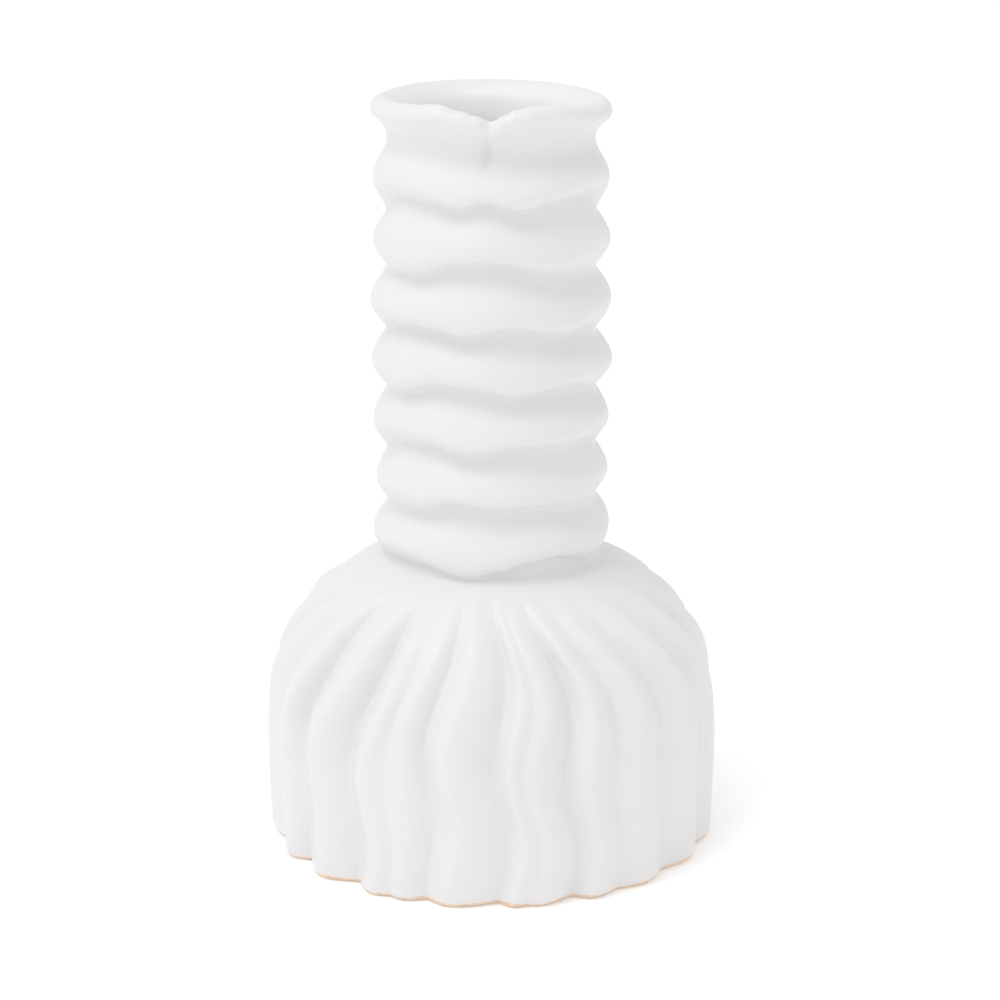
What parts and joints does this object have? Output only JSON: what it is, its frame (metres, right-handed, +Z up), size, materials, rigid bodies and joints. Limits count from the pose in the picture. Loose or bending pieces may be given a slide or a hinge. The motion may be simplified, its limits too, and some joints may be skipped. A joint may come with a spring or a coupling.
{
  "type": "bud vase",
  "caption": "Squat pleated dome vase with a tall ribbed neck, wavy creases between its bulges and a rolled lip pinched to a V.",
  "frame": {"origin": "centre of the foot, on the resting face", "axes": "+Z up the axis of the vase, -Y towards the pinch in the lip, +X to the right seen from that side"},
  "size_m": [0.1085, 0.1083, 0.1789],
  "materials": {
    "glaze": "white satin glaze",
    "clay": "bare fired clay, matt"
  },
  "bodies": {
    "root": {"pinched_lip": "glaze", "ribbed_neck": "glaze", "neck_collar": "glaze", "pleated_body": "glaze", "foot_ring": "clay", "floor_slab": "clay"}
  },
  "joints": []
}
